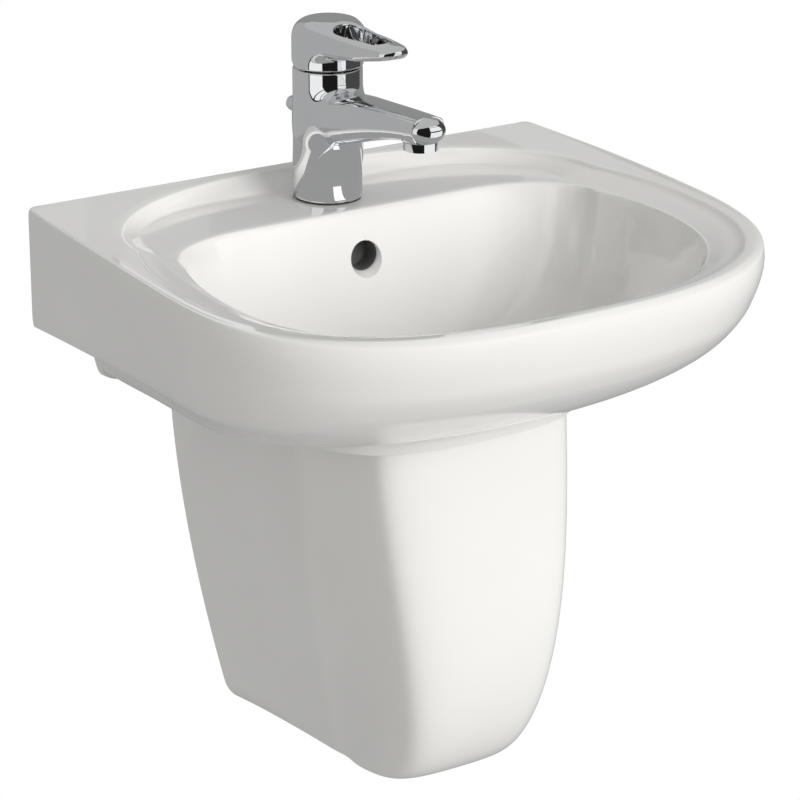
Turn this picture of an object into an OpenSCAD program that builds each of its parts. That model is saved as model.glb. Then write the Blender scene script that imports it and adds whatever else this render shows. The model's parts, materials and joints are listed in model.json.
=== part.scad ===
// Wall-hung washbasin with a semi-pedestal, a single-lever mixer, a pop-up
// waste and a bottle trap.  Millimetres, +Z up, the wall is the plane y = 0
// and the front of the basin points along -Y.  The origin lies on the wall,
// midway between the two hanger bolts that carry the basin.

/* [Basin] */
// Height of the back rim above the hanger bolts
rim_z = 95; // [90:1:100]
// Half width of the basin at its widest
basin_half_w = 226; // [222:0.5:230]
// Half width of the basin where it meets the wall
basin_wall_half_w = 219; // [216:0.5:221]
// Depth of the basin from the wall to the front
basin_depth = 380; // [376:1:384]
// Distance of the widest place from the wall
widest_y = 195; // [190:1:200]
// Fall of the rim towards the front, in mm per mm
rim_fall = 0.04; // [0.03:0.005:0.05]
// Height of the side skirt at the wall
skirt_h = 88; // [84:1:92]
// Depth of the bowl below the back rim
bowl_depth = 128; // [124:1:130]
// Depth of the recessed tap deck below the back rim
deck_drop = 13; // [12:0.5:14]
// Distance between the two hanger bolts
bolt_span = 280; // [276:1:284]
// Thickness of the basin's back wall
back_wall = 14; // [13:0.5:16]

/* [Semi-pedestal] */
// Height of the pedestal shell
pedestal_h = 275; // [272:1:278]
// Half width of the shell at the wall, at its top
pedestal_half_w = 106; // [104:0.5:108]
// Reach of the shell from the wall, at its top
pedestal_depth = 262; // [258:1:266]
// Wall thickness of the shell
pedestal_wall = 10; // [9:0.5:11]

/* [Mixer] */
// Distance of the mixer's axis from the wall
tap_y = 55; // [53:0.5:57]
// Radius of the mixer's body
tap_r = 25.5; // [25:0.25:26]
// Height of the body above the deck
tap_body_h = 98; // [97:0.5:99]
// Reach of the outlet from the mixer's axis
spout_reach = 122; // [119:0.5:124]
// Height of the outlet above the deck
outlet_h = 64; // [63.5:0.5:65]
// Highest point of the lever above the deck
lever_top_h = 133.5; // [132.5:0.5:135]

/* [Waste and trap] */
// Distance of the waste from the wall
waste_y = 185; // [183:1:187]
// Radius of the waste tube and of the trap's outlet pipe
waste_tube_r = 16; // [15.5:0.5:16]
// Height of the trap's outlet above the hanger bolts (negative is below)
outlet_z = -205; // [-208:1:-204]
// Upward and downward travel of the pop-up knob
lift_travel = 30; // [24:1:30]

/* [Hidden] */
$fn = 64;

// Basin openings
deck_t = 14;
tap_hole_r = 17.5;
waste_hole_r = 23;
pocket_half_w = 158;
pocket_d = 68;
pocket_r = 6;
overflow_z = -46;
overflow_r = 11.25;
duct_y = -94;
duct_z = -140;
duct_r = 5;
bolt_r = 5;
bolt_hole_r = 8;

// Lugs that hold the pedestal's shell to the wall
lug_x = 58;
lug_z = -240;
lug_w = 32;
lug_t = 16;
lug_hole_r = 4;
lug_bolt_r = 3;

// Mixer, measured from its axis on the deck
gasket_t = 1.5;
chamber_z = 61;
cartridge_r = 17.5;
nut_z = 89;
nut_r = 21;
carrier_r = 11;
carrier_z = 85.7;
pivot_z = 90;
pin_r = 1.5;
stem_w = 8;
stem_drop = 2.4;
skirt_z = 101;
lever_r = 26;
lever_reach = 96;
screw_r = 2.5;
aerator_r = 12.5;
aerator_t = 6;
aerator_thread_r = 11;
tail_r = 5;
tail_bore = 4;
tail_x = 9.5;
tail_dy = 2;
tail_drop = 60;
tail_bend = 25;
tail_slant = 16;
tail_step = 2 * tail_bend * (1 - cos(45)) + tail_slant * sin(45);
tail_jog = (2 * tail_bend + tail_slant) * sin(45);
tail_len = 300;
stud_r = 4;
stud_dy = -11;
stud_len = 55;

// Pop-up linkage, measured from the mixer's axis on the deck
rod_r = 2.25;
rod_dy = 13.5;
crank_dy = 22.5;
crank_z = 31.5;
crank_rise = 10;
knob_z = 60;
groove_w = 6.6;
clamp_w = 9;
clamp_eye_r = 3.6;

// Waste and trap, measured from the waste's axis on the bowl's floor
flange_t = 4.5;
flange_r = 32;
throat_r = 18.2;
thread_r = 20.9;
flange_bottom = -60;
under_z = -149;
under_dz = under_z + bowl_depth;
pivot_dy = 26;
pivot_dz = -72;
port_r = 10;
seat_r = 8.2;
ball_r = 5.5;
ball_rod_r = 2.5;
inner_arm = pivot_dy;
outer_arm = waste_y - tap_y + rod_dy - pivot_dy;
rest_tip = atan(lift_travel / 2 / outer_arm);
clamp_z = deck_drop - bowl_depth + pivot_dz + lift_travel / 2;
tail_bottom = -150;
trap_top = -130;
bottle_bottom = -205;
outlet_dz = outlet_z - rim_z + bowl_depth;
outlet_past_wall = 35;

// ---- Places ----------------------------------------------------------------
// The rim's back edge on the wall, the mixer's axis on the deck, the waste's
// axis on the bowl's floor, the pivot of the ball rod, and a pair of bolts
module at_rim() { translate([0, 0, rim_z]) children(); }
module at_tap() { translate([0, -tap_y, rim_z - deck_drop]) children(); }
module at_waste() { translate([0, -waste_y, rim_z - bowl_depth]) children(); }
module at_pivot() { at_waste() translate([0, pivot_dy, pivot_dz]) children(); }
module at_bolts(x, z) {
    for (s = [-1, 1]) translate([s * x, 0, z]) rotate([90, 0, 0]) children();
}

// ---- Lofts -------------------------------------------------------------
// Steps along the back, the corner, the side and the front of an outline
BACK_N = 6;
CORNER_N = 5;
SIDE_N = 7;
FRONT_N = 16;

// Right half of a plan outline, from the middle of its back to the middle of
// its front: a straight back at yb out to the half width hb, an elliptical
// corner (rx, ry), a bowed side out to the half width hw at ym, and a
// superelliptical front of power n that reaches yf
function half_outline(hb, yb, rx, ry, hw, ym, yf, n) = concat(
    [for (i = [0 : BACK_N - 1]) [(hb - rx) * i / BACK_N, yb]],
    [for (i = [0 : CORNER_N - 1]) let (a = 90 * i / CORNER_N)
        [hb - rx + rx * sin(a), yb - ry + ry * cos(a)]],
    [for (i = [0 : SIDE_N - 1]) let (s = i / SIDE_N)
        [hw - (hw - hb) * pow(1 - s, 2), (yb - ry) * (1 - s) + ym * s]],
    [for (i = [0 : FRONT_N]) let (a = 90 * i / FRONT_N)
        [hw * pow(cos(a), 2 / n), ym - (ym - yf) * pow(sin(a), 2 / n)]]);

// The whole outline: the right half, then its mirror image without the ends
function both_halves(half) = concat(half,
    [for (i = [len(half) - 2 : -1 : 1]) [-half[i].x, half[i].y]]);

// Lifts an outline to a ring whose height runs from zb at its back to zf at
// its front, by the power p of the way forward
function lift(outline, zb, zf, p) =
    let (ys = [for (q = outline) q.y], y0 = max(ys), y1 = min(ys))
    [for (q = outline) [q.x, q.y, zb + (zf - zb) * pow((y0 - q.y) / (y0 - y1), p)]];

function ring(hb, yb, rx, ry, hw, ym, yf, n, zb, zf, p = 1) =
    lift(both_halves(half_outline(hb, yb, rx, ry, hw, ym, yf, n)), zb, zf, p);

// The mean of a ring's points
function middle(r) = [for (k = [0 : 2]) let (vs = [for (q = r) q[k]])
    vs * [for (v = vs) 1] / len(r)];

// A solid skinned over rings of equal length, closed by fans of triangles
module skin(rings) {
    n = len(rings[0]);
    last = len(rings) - 1;
    count = n * len(rings);
    polyhedron(
        points = concat([for (r = rings) each r], [middle(rings[0]), middle(rings[last])]),
        faces = concat(
            [for (j = [0 : n - 1]) [j, (j + 1) % n, count]],
            [for (k = [0 : last - 1]) for (j = [0 : n - 1])
                let (a = k * n + j, b = k * n + (j + 1) % n)
                each [[a, a + n, b], [b, a + n, b + n]]],
            [for (j = [0 : n - 1]) [last * n + (j + 1) % n, last * n + j, count + 1]]),
        convexity = 8);
}

// ---- Basin ---------------------------------------------------------------
// Height of the rim plane at a distance y in front of the wall
function rim(y) = rim_fall * y;

wall_w = basin_wall_half_w;
half_w = basin_half_w;
wide_y = -widest_y;
front_y = -basin_depth;
floor_z = -bowl_depth;
deck_z = -deck_drop;
collar_y = -268;      // front of the collar that the pedestal meets
collar_half_w = 111;
collar_t = 9;
seam_back_z = -150;
seam_front_z = -138;
seam_gap = 0.6;
edge_y = -94;         // back edge of the bowl, where the tap deck ends
rim_in_y = front_y + 14;

// Height of the collar's sloping underside at y, just clear of the pedestal
function seam(y) = seam_back_z + seam_gap
    + (seam_front_z - seam_back_z) * y / (collar_y + 3);

bowl_rings = [
    ring(24, -159, 23, 22, 26, -waste_y, -213, 2, floor_z, floor_z),
    ring(52, -147, 45, 34, 56, -188, -238, 2.1, floor_z + 2, floor_z + 2),
    ring(88, -136, 64, 44, 94, -195, -266, 2.2, floor_z + 9, floor_z + 9),
    ring(118, -126, 75, 50, 126, -202, -294, 2.25, floor_z + 22, floor_z + 22),
    ring(140, -118, 80, 52, 149, -206, -318, 2.3, floor_z + 41, floor_z + 40),
    ring(156, -110, 80, 54, 165, -210, -334, 2.35, floor_z + 66, floor_z + 62),
    ring(166, -103, 78, 54, 175, -213, -344, 2.4, floor_z + 92, floor_z + 84),
    ring(172, edge_y - 4, 76, 54, 182, -215, -350, 2.4, deck_z - 7, -34, 2),
    ring(174, edge_y, 75, 54, 186, -215, -352, 2.4, deck_z, -26, 2),
    ring(173, -27, 88, 75, 189, -215, -353, 2.45, deck_z, -23, 2),
    ring(180, -20, 110, 84, 199, -213, -358, 2.5, deck_z + 3, -19, 1.5),
    ring(192, -11, 150, 102, 210, -208, rim_in_y, 2.55, -4, rim(rim_in_y) - 2.5, 1),
    ring(197, -8, 162, 110, 214, -204, rim_in_y - 3, 2.6, -1, rim(rim_in_y) - 0.4, 1)];

under_rings = [
    ring(wall_w - 2.5, -0.4, 5, 5, half_w - 5, wide_y, front_y + 6, 2.7, 0, rim(front_y), 1),
    ring(wall_w - 0.5, 0, 5, 5, half_w - 1, wide_y, front_y + 1, 2.75, -2, -20, 2),
    ring(wall_w, 0, 5, 5, half_w, wide_y, front_y, 2.75, -8, -27, 1),
    ring(wall_w, 0, 5, 5, half_w - 4, wide_y, front_y + 6, 2.65, -46, -54, 1),
    ring(wall_w, 0, 5, 5, half_w - 9, wide_y, front_y + 18, 2.5, -78, -73, 1),
    ring(wall_w - 1, 0, 5, 5, half_w - 14, wide_y, front_y + 34, 2.4, -skirt_h, -88, 1),
    ring(178, 0, 7, 7, 200, wide_y, front_y + 54, 2.3, -skirt_h - 4, -102, 1),
    ring(171, 0, 6, 6, 183, -185, front_y + 76, 2.2, -120, -113, 1),
    ring(166, 0, 6, 6, 162, -175, front_y + 96, 2.2, -134, -120, 1),
    ring(140, 0, 20, 20, 136, -165, front_y + 108, 2.4, -141, -125, 1),
    ring(114, 0, 6, 6, 114, -150, collar_y, 3, -146, -128, 1),
    ring(collar_half_w, 0, 6, 6, collar_half_w, -150, collar_y + 3, 3, seam(0), seam(collar_y + 3), 1),
    ring(88, -12, 6, 6, 84, -150, -244, 2.4, seam(-12), seam(-244), 1),
    ring(60, -120, 45, 34, 62, -188, -236, 2.2, under_z, under_z)];

// Open space under the tap deck, in plan
module pocket_plan() {
    square([2 * pocket_half_w, pocket_d - 2 * pocket_r], center = true);
    square([2 * (pocket_half_w - pocket_r), pocket_d], center = true);
    for (sx = [-1, 1], sy = [-1, 1])
        translate([sx * (pocket_half_w - pocket_r), sy * (pocket_d / 2 - pocket_r)])
            circle(pocket_r);
}

// Side of the collar where the pocket would cut it away
module collar_wall() {
    rotate([90, 0, 90]) linear_extrude(height = collar_t)
        polygon([[-10, seam(-10) + 0.5], [-86, seam(-86) + 0.5], [-86, -125], [-10, -125]]);
}

module cast_basin() {
    difference() {
        at_rim() skin(concat(bowl_rings, under_rings));
        at_rim() translate([0, -back_wall - pocket_d / 2, under_z - 20])
            linear_extrude(height = deck_z - deck_t - under_z + 20) pocket_plan();
        at_tap() translate([0, 0, -deck_t - 1]) cylinder(r = tap_hole_r, h = deck_t + 2);
        at_waste() translate([0, 0, under_z + bowl_depth - 1])
            cylinder(r = waste_hole_r, h = -under_z);
        at_waste() translate([0, 0, -flange_t]) cylinder(r = flange_r + 0.5, h = 10);
        // Overflow: the hole in the bowl's back, a drop and a run to the waste
        at_rim() translate([0, duct_y - 4, overflow_z]) rotate([90, 0, 0])
            cylinder(r = overflow_r, h = 60);
        at_rim() translate([0, duct_y, duct_z]) cylinder(r = 6, h = overflow_z - duct_z);
        at_rim() translate([0, duct_y, duct_z]) rotate([90, 0, 0])
            cylinder(r = duct_r, h = waste_y + duct_y);
        at_bolts(bolt_span / 2, 0) translate([0, 0, -1])
            cylinder(r = bolt_hole_r, h = back_wall + 2);
    }
}

module basin() {
    color("white") {
        cast_basin();
        at_rim() for (x = [-collar_half_w + 0.5, collar_half_w - 0.5 - collar_t])
            translate([x, 0, 0]) collar_wall();
    }
}

// ---- Semi-pedestal ---------------------------------------------------------
ped_bottom = seam_back_z - pedestal_h;
PANEL_N = 8;
FLUTE_N = 5;
NOSE_N = 12;

function bezier(a, b, c, d, t) = pow(1 - t, 3) * a + 3 * t * pow(1 - t, 2) * b
    + 3 * t * t * (1 - t) * c + pow(t, 3) * d;

// How much of the round of the nose is left at the fraction u of the height
function nose_left(u) = pow(1 - pow(u, 6), 1 / 2.2);

// How far the rounded foot has closed at the fraction u of the height
function foot_round(u) = u < 0.93 ? 0 : 1 - sqrt(1 - pow((u - 0.93) / 0.07, 2));

// Right half of the shell's plan at the fraction u of its height below its
// top, kept w inside the outer surface: the back, a panel that flares to the
// wall, a shallow flute between two creases, and the broad round nose
function ped_half(u, w) =
    let (hw = pedestal_half_w - 47 * pow(u, 1.6) - 13 * foot_round(u) - w,
         crease1 = [100 - 50 * pow(u, 1.7) - w, -172 + 30 * pow(u, 2)],
         nose = 200 + (pedestal_depth - 200) * nose_left(u) + 13 * sin(180 * pow(u, 1.2)),
         crease2 = [82 - 33 * pow(u, 1.6) - w, -nose + 22 + w / 2],
         front = [0, -nose + w])
    concat(
        [for (i = [0 : BACK_N - 1]) [hw * i / BACK_N, 0]],
        [for (i = [0 : PANEL_N - 1]) let (s = i / PANEL_N)
            [crease1.x + (hw - crease1.x) * pow(1 - s, 2), crease1.y * s]],
        [for (i = [0 : FLUTE_N - 1]) bezier(crease1, crease1 + [-5, -18],
            crease2 + [6, 24], crease2, i / FLUTE_N)],
        [for (i = [0 : NOSE_N]) bezier(crease2, crease2 + [-1, -19],
            front + [38, 0], front, i / NOSE_N)]);

function ped_z(y, u) = let (f = -y / pedestal_depth)
    seam_back_z + (seam_front_z - seam_back_z) * f * (1 - u) - (pedestal_h - 13 * f - 14 * f * (1 - f)) * u;

function ped_ring(u, w) = [for (q = both_halves(ped_half(u, w))) [q.x, q.y, ped_z(q.y, u)]];

module ped_solid(w) {
    levels = [0, 0.12, 0.25, 0.38, 0.5, 0.62, 0.73, 0.82, 0.9, 0.95, 0.98, 0.995];
    skin([for (u = levels) ped_ring(u, w)]);
}

module semi_pedestal() {
    color("white") difference() {
        union() {
            difference() {
                at_rim() ped_solid(0);
                at_rim() translate([0, 1, pedestal_wall]) ped_solid(pedestal_wall);
            }
            for (s = [-1, 1])
                translate([s * lug_x - lug_w / 2, -lug_t, lug_z - lug_w / 2])
                    cube([lug_w, lug_t, lug_w]);
        }
        at_bolts(lug_x, lug_z) translate([0, 0, -1]) cylinder(r = lug_hole_r, h = lug_t + 2);
    }
}

// ---- Small shapes ----------------------------------------------------------
module tube(r_out, r_in, h) {
    difference() {
        cylinder(r = r_out, h = h);
        translate([0, 0, -1]) cylinder(r = r_in, h = h + 2);
    }
}

// Hexagon nut by its width across flats
module hex_nut(flats, r_in, h) {
    difference() {
        cylinder(r = flats / sqrt(3), h = h, $fn = 6);
        translate([0, 0, -1]) cylinder(r = r_in, h = h + 2);
    }
}

// A solid bend: starts at the origin running down -Z and turns towards +X
module bend(r_pipe, r_bend, angle) {
    translate([r_bend, 0, 0]) rotate([0, 180, 0]) rotate([90, 0, 0])
        rotate_extrude(angle = angle) translate([r_bend, 0]) circle(r_pipe);
}

// ---- Mixer -----------------------------------------------------------------
spout_z = 79;
nose_r = 10;
module nose(y) {
    translate([0, -spout_reach + y, spout_z]) scale([1.3, 1.3, 1]) sphere(nose_r, $fn = 32);
}

module spout_shape() {
    hull() {
        translate([0, -6, 67]) scale([1, 1, 1.15]) sphere(17, $fn = 32);
        nose(25);
    }
    hull() {
        nose(25);
        nose(-8);
    }
}

module mixer_body() {
    color("silver") at_tap() difference() {
        union() {
            translate([0, 0, gasket_t]) cylinder(r = tap_r, h = tap_body_h - gasket_t);
            spout_shape();
            translate([0, -spout_reach, outlet_h + aerator_t]) cylinder(r = aerator_r + 0.6, h = 10);
        }
        translate([0, -spout_reach, outlet_h]) cylinder(r = aerator_r + 0.1, h = aerator_t);
        // Chamber for the cartridge and the ring that holds it
        translate([0, 0, chamber_z]) cylinder(r = cartridge_r + 0.1, h = tap_body_h);
        translate([0, 0, nut_z - 1]) cylinder(r = nut_r + 0.1, h = tap_body_h);
        // Waterway to the outlet, and the outlet itself
        translate([0, -8, spout_z - 2]) rotate([90, 0, 0]) cylinder(r = 5, h = spout_reach - 8);
        translate([0, -spout_reach, outlet_h + 1]) cylinder(r = aerator_thread_r, h = 13);
        // Inlets, fixing stud and the groove of the lift rod
        for (s = [-1, 1]) translate([s * tail_x, tail_dy, -1]) cylinder(r = tail_r, h = 13);
        for (s = [-1, 1]) translate([s * tail_x, tail_dy, 0]) cylinder(r = 3.5, h = chamber_z + 1);
        translate([0, stud_dy, -1]) cylinder(r = stud_r, h = 14);
        translate([-groove_w / 2, rod_dy - 3, -1]) cube([groove_w, 30, 43]);
        translate([-groove_w / 2, crank_dy - 3, 41]) cube([groove_w, 30, 22.5]);
    }
}

module mixer_cartridge() {
    color("gray") at_tap() difference() {
        union() {
            translate([0, 0, chamber_z]) cylinder(r = cartridge_r, h = nut_z - chamber_z);
            translate([0, 0, nut_z - 0.01]) cylinder(r = carrier_r + 3, h = 8);
        }
        translate([0, 0, carrier_z - 0.5]) cylinder(r = carrier_r + 0.05, h = 30);
    }
}

module cartridge_nut() {
    color("goldenrod") at_tap() translate([0, 0, nut_z]) difference() {
        tube(nut_r, carrier_r + 3.1, 10);
        for (a = [0, 90, 180, 270]) rotate(a) translate([nut_r - 2.5, -2, 6]) cube([4, 4, 5]);
    }
}

module stem_carrier() {
    color("dimgray") at_tap() translate([0, 0, carrier_z]) difference() {
        cylinder(r = carrier_r, h = 10);
        translate([-stem_w / 2 - 0.3, -8, 0.6]) cube([stem_w + 0.6, 16, 20]);
        translate([-20, 0, pivot_z - carrier_z]) rotate([0, 90, 0]) cylinder(r = pin_r, h = 40);
    }
}

// Pin across the carrier that the stem tips on
module stem_pin() {
    color("silver") at_tap() translate([-10, 0, pivot_z]) rotate([0, 90, 0])
        cylinder(r = pin_r, h = 20);
}

module lever_stem() {
    color("silver") at_tap() difference() {
        translate([-stem_w / 2, -stem_w / 2, pivot_z - stem_drop])
            cube([stem_w, stem_w, stem_drop + 32]);
        translate([-10, 0, pivot_z]) rotate([0, 90, 0]) cylinder(r = pin_r + 0.05, h = 20);
    }
}

module lever() {
    color("silver") at_tap() difference() {
        union() {
            rotate_extrude() polygon(concat(
                [[0, skirt_z], [lever_r, skirt_z], [lever_r, lever_top_h - 18]],
                [for (a = [10 : 10 : 90]) [6 + (lever_r - 6) * cos(a), lever_top_h - 18 + 18 * sin(a)]],
                [[0, lever_top_h]]));
            hull() {
                translate([0, -8, 114]) cylinder(r = 21, h = 17, $fn = 32);
                translate([0, -58, 117]) cylinder(r = 17.5, h = 14, $fn = 32);
                translate([0, -lever_reach + 12, 122]) cylinder(r = 12, h = 7.5, $fn = 32);
            }
        }
        difference() {
            translate([0, 0, skirt_z - 1]) cylinder(r = lever_r - 4, h = 18);
            translate([0, 0, 112]) cylinder(r = 8, h = 10);
        }
        translate([-stem_w / 2, -stem_w / 2, skirt_z - 1]) cube([stem_w, stem_w, 22.5]);
        // Room for the back of the skirt when the lever is lifted
        translate([0, -5, skirt_z]) rotate([14, 0, 0]) translate([-40, 0, -20]) cube([80, 60, 20]);
        // Finger loop
        hull() {
            translate([0, -40, 100]) cylinder(r = 11.5, h = 60);
            translate([0, -72, 100]) cylinder(r = 8.5, h = 60);
        }
        // Screw hole, with its counterbore for the plug
        translate([0, 40, 119]) rotate([90, 0, 0]) cylinder(r = screw_r, h = 40);
        translate([0, 40, 119]) rotate([90, 0, 0]) cylinder(r = 4, h = 16);
    }
}

module lever_screw() {
    color("dimgray") at_tap() translate([0, 15, 119]) rotate([90, 0, 0])
        difference() {
            cylinder(r = screw_r, h = 15 - stem_w / 2);
            translate([0, 0, -1]) cylinder(r = 1.5, h = 4, $fn = 6);
        }
}

module lever_plug() {
    color("silver") at_tap() translate([0, 25.6, 119]) rotate([90, 0, 0]) cylinder(r = 3.9, h = 1.6);
}

module aerator_housing() {
    color("silver") at_tap() translate([0, -spout_reach, outlet_h]) difference() {
        union() {
            cylinder(r = aerator_r, h = aerator_t);
            translate([0, 0, aerator_t - 1]) cylinder(r = aerator_thread_r, h = 6);
        }
        translate([0, 0, 1.5]) cylinder(r = 10, h = 12);
        translate([0, 0, -1]) cylinder(r = 8.5, h = 12);
    }
}

module aerator_insert() {
    color("whitesmoke") at_tap() translate([0, -spout_reach, outlet_h + 1.5]) difference() {
        cylinder(r = 9.9, h = 9.5);
        translate([0, 0, -1]) for (a = [0 : 60 : 300]) rotate(a) translate([5, 0, 0]) cylinder(r = 1.6, h = 12);
        translate([0, 0, -1]) cylinder(r = 1.6, h = 12);
    }
}

module aerator_seal() {
    color("black") at_tap() translate([0, -spout_reach, outlet_h + 11]) tube(aerator_thread_r, 8, 2.5);
}

module base_gasket() {
    color("black") at_tap() difference() {
        cylinder(r = tap_r - 1.5, h = gasket_t);
        translate([0, 0, -1]) cylinder(r = tap_hole_r - 0.5, h = 5);
    }
}

module mounting_stud() {
    color("silver") at_tap() translate([0, stud_dy, 13 - stud_len]) cylinder(r = stud_r, h = stud_len);
}

// Horseshoe that goes round the pipes and the lift rod, with the stud's hole
module horseshoe(t) {
    difference() {
        cylinder(r = 24, h = t);
        translate([0, stud_dy, -1]) cylinder(r = stud_r + 0.2, h = t + 2);
        translate([-15.5, -6, -1]) cube([31, 40, t + 2]);
    }
}

module clamp_gasket() {
    color("black") at_tap() translate([0, 0, -deck_t - 3]) horseshoe(3);
}

module clamp_washer() {
    color("silver") at_tap() translate([0, 0, -deck_t - 5]) horseshoe(2);
}

module mounting_nut() {
    color("goldenrod") at_tap() translate([0, stud_dy, -deck_t - 15]) hex_nut(13, stud_r, 10);
}

// Run of a rigid pipe: down from the body, out to the side and down again.
// The straights reach 1 mm into the bends, which are a little fatter
module tail_run(r, over) {
    translate([0, 0, -tail_drop - 1]) cylinder(r = r, h = tail_drop + 11 + over);
    translate([0, 0, -tail_drop]) bend(r + 0.15, tail_bend, 45);
    translate([tail_bend * (1 - cos(45)), 0, -tail_drop - tail_bend * sin(45)]) rotate([0, 135, 0])
        translate([0, 0, -1]) cylinder(r = r, h = tail_slant + 2);
    translate([tail_step, 0, -tail_drop - tail_jog]) rotate([0, 180, 0]) bend(r + 0.15, tail_bend, 45);
    translate([tail_step, 0, -tail_len - over])
        cylinder(r = r, h = tail_len - tail_drop - tail_jog + 1 + over);
}

module tail(side) {
    color("peru") at_tap() mirror([side < 0 ? 1 : 0, 0, 0]) translate([tail_x, tail_dy, 0])
        difference() {
            tail_run(tail_r, 0);
            tail_run(tail_bore, 1);
        }
}

module hot_tail() tail(-1);
module cold_tail() tail(1);

// ---- Pop-up linkage --------------------------------------------------------
module lift_knob() {
    color("silver") at_tap() difference() {
        translate([0, crank_dy - 3, knob_z]) rotate([-90, 0, 0])
            rotate_extrude() polygon([[0, 0], [2.9, 0], [2.9, 9], [4.6, 13], [5.8, 18],
                [5.8, 28.5], [5.2, 30.6], [3.6, 32], [0, 32.4]]);
        translate([0, crank_dy, knob_z - 12]) cylinder(r = rod_r, h = 12);
    }
}

module lift_rod() {
    color("silver") at_tap() {
        translate([0, crank_dy, crank_z + crank_rise]) cylinder(r = rod_r, h = knob_z - crank_z - crank_rise);
        translate([0, crank_dy, crank_z + crank_rise]) sphere(rod_r + 0.25);
        translate([0, rod_dy, crank_z]) rotate([-atan((crank_dy - rod_dy) / crank_rise), 0, 0])
            cylinder(r = rod_r, h = norm([crank_dy - rod_dy, crank_rise]));
        translate([0, rod_dy, crank_z]) sphere(rod_r + 0.25);
        translate([0, rod_dy, clamp_z + 6]) cylinder(r = rod_r, h = crank_z - clamp_z - 6);
    }
}

// Block under the lift rod: a blind hole for the rod, an eye for the ball rod
module rod_clamp() {
    color("goldenrod") at_tap() translate([0, rod_dy, clamp_z]) difference() {
        translate([-clamp_w / 2, -5.5, -7]) cube([clamp_w, 11, 25]);
        translate([0, 0, 6]) cylinder(r = rod_r, h = 20);
        translate([0, 20, 0]) rotate([90, 0, 0]) cylinder(r = clamp_eye_r, h = 40);
        translate([0, 0, 12]) rotate([0, 90, 0]) cylinder(r = 2, h = 20);
    }
}

module clamp_screw() {
    color("silver") at_tap() translate([rod_r, rod_dy, clamp_z + 12]) rotate([0, 90, 0]) {
        cylinder(r = 2, h = clamp_w / 2 - rod_r + 0.5);
        translate([0, 0, clamp_w / 2 - rod_r]) difference() {
            cylinder(r = 3.8, h = 3);
            translate([-0.5, -5, 1.8]) cube([1, 10, 3]);
        }
    }
}

// Everything that follows the ball's turn is drawn level, then tipped
module ball_rod() {
    color("silver") at_pivot() rotate([rest_tip, 0, 0]) {
        sphere(ball_r);
        translate([0, -inner_arm - 4, 0]) rotate([-90, 0, 0])
            cylinder(r = ball_rod_r, h = inner_arm + 4 + outer_arm + 12);
    }
}

module ball_seat() {
    color("white") at_pivot() difference() {
        translate([0, -5.5, 0]) rotate([-90, 0, 0]) cylinder(r = seat_r, h = 13.4);
        sphere(ball_r + 0.05);
        translate([0, -20, 0]) rotate([-90, 0, 0]) cylinder(r = 4.2, h = 40);
    }
}

module ball_nut() {
    color("silver") at_pivot() difference() {
        translate([0, -0.5, 0]) rotate([-90, 0, 0]) cylinder(r = 13.5, h = 12.5, $fn = 6);
        translate([0, -3, 0]) rotate([-90, 0, 0]) cylinder(r = port_r + 0.1, h = 11);
        rotate([-90, 0, 0]) cylinder(r = 5.4, h = 30);
    }
}

// ---- Waste -----------------------------------------------------------------
module waste_flange() {
    color("silver") at_waste() difference() {
        rotate_extrude() polygon([[throat_r, flange_bottom], [thread_r, flange_bottom],
            [thread_r, -3], [flange_r, -3], [flange_r, -0.8], [flange_r - 1, 0], [24, -1.8],
            [throat_r, -5]]);
        for (a = [0 : 90 : 270]) rotate(a) translate([-6, 10, -17]) cube([12, 20, 10]);
    }
}

module flange_gasket() {
    color("black") at_waste() translate([0, 0, -flange_t]) tube(flange_r - 1, waste_hole_r + 0.5, flange_t - 3);
}

module waste_gasket() {
    color("black") at_waste() rotate_extrude() polygon([[thread_r, under_dz], [31, under_dz],
        [31, under_dz - 3], [25, under_dz - 6], [thread_r, under_dz - 6]]);
}

module waste_washer() {
    color("silver") at_waste() translate([0, 0, under_dz - 8]) tube(30, thread_r, 2);
}

module waste_nut() {
    color("silver") at_waste() translate([0, 0, under_dz - 20]) hex_nut(56, thread_r, 12);
}

module waste_body() {
    color("silver") at_waste() difference() {
        union() {
            rotate_extrude() polygon([[thread_r, flange_bottom + 15], [25, flange_bottom + 15],
                [25, flange_bottom], [21.5, flange_bottom - 1], [21.5, -88],
                [waste_tube_r, -94], [waste_tube_r, tail_bottom], [waste_tube_r - 1.5, tail_bottom],
                [waste_tube_r - 1.5, -93], [throat_r, -86], [throat_r, flange_bottom],
                [thread_r, flange_bottom]]);
            translate([0, 19, pivot_dz]) rotate([-90, 0, 0]) cylinder(r = port_r, h = 15);
        }
        translate([0, pivot_dy - 5.5, pivot_dz]) rotate([-90, 0, 0]) cylinder(r = seat_r, h = 30);
        translate([0, 8, pivot_dz]) rotate([-90, 0, 0]) cylinder(r = 5.2, h = 30);
    }
}

module plug() {
    color("silver") at_waste() difference() {
        union() {
            rotate_extrude() polygon([[0, -2.2], [19.6, -2.2], [20.4, -1.2], [20.4, 0], [19, 1.4],
                [12, 2.6], [0, 3]]);
            translate([0, 0, -5]) cylinder(r = 15.8, h = 3);
            translate([0, 0, -64]) cylinder(r = 3.5, h = 60);
            for (a = [0, 90]) rotate(a) translate([-17, -0.8, -34]) cube([34, 1.6, 12]);
            translate([-6, -2.5, -86]) cube([12, 5, 24]);
        }
        translate([-3.4, -5, pivot_dz - inner_arm * tan(rest_tip) - 4.2]) cube([6.8, 10, 8.4]);
    }
}

module plug_seal() {
    color("black") at_waste() translate([0, 0, -3.9]) tube(19, 15.8, 1.7);
}

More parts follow.
